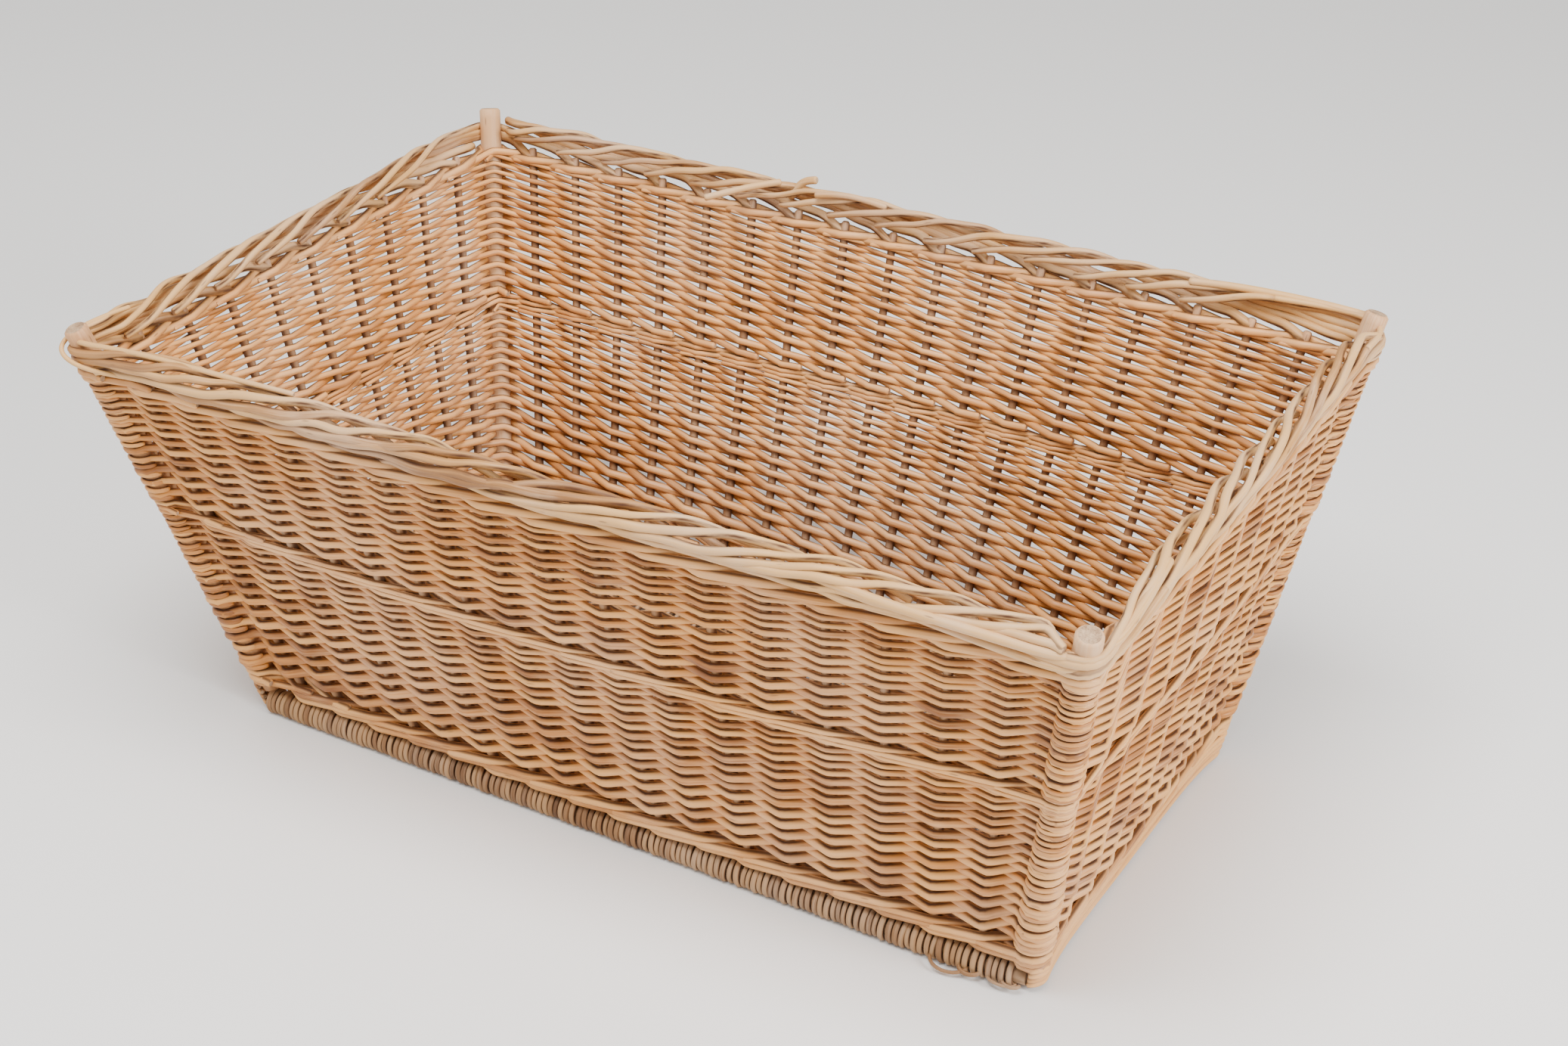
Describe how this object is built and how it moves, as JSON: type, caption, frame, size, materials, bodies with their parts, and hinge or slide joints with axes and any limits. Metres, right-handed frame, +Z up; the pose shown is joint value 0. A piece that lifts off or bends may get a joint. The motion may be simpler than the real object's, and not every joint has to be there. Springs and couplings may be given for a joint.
{
  "type": "wicker log basket",
  "caption": "Rectangular log basket of woven willow with an open top, sloping sides, corner posts and a roped border.",
  "frame": {"origin": "on the floor under the middle of the basket", "axes": "+X along the long sides to the right-hand end, +Y across to the back, +Z up"},
  "size_m": [0.9066, 0.5808, 0.4],
  "materials": {
    "posts": "bare willow stick, cut grain at the ends, matt",
    "stakes": "buff willow, low sheen",
    "weavers": "buff willow, satin skin, honey brown",
    "wale": "buff willow, satin skin, honey brown",
    "border": "weathered willow, worn pale on top",
    "base_sticks": "brown willow stick with bark marks, matt",
    "base_weavers": "aged willow, dusty, matt"
  },
  "bodies": {
    "root": {"post_front_left": "posts", "post_front_right": "posts", "post_back_right": "posts", "post_back_left": "posts", "corner_wraps_front_left": "weavers", "corner_wraps_front_right": "weavers", "corner_wraps_back_right": "weavers", "corner_wraps_back_left": "weavers", "stakes_front": "stakes", "stakes_right": "stakes", "stakes_back": "stakes", "stakes_left": "stakes", "bottom_wale_front": "wale", "bottom_wale_right": "wale", "bottom_wale_back": "wale", "bottom_wale_left": "wale", "lower_weave_front": "weavers", "lower_weave_right": "weavers", "lower_weave_back": "weavers", "lower_weave_left": "weavers", "middle_wale_front": "wale", "middle_wale_right": "wale", "middle_wale_back": "wale", "middle_wale_left": "wale", "upper_weave_front": "weavers", "upper_weave_right": "weavers", "upper_weave_back": "weavers", "upper_weave_left": "weavers", "top_wale_front": "wale", "top_wale_right": "wale", "top_wale_back": "wale", "top_wale_left": "wale", "border_front": "border", "border_right": "border", "border_back": "border", "border_left": "border", "base_edge_stick_front": "base_sticks", "base_edge_stick_back": "base_sticks", "base_inner_sticks": "base_sticks", "base_weave": "base_weavers", "base_roll_front": "base_weavers", "base_roll_back": "base_weavers"}
  },
  "joints": []
}
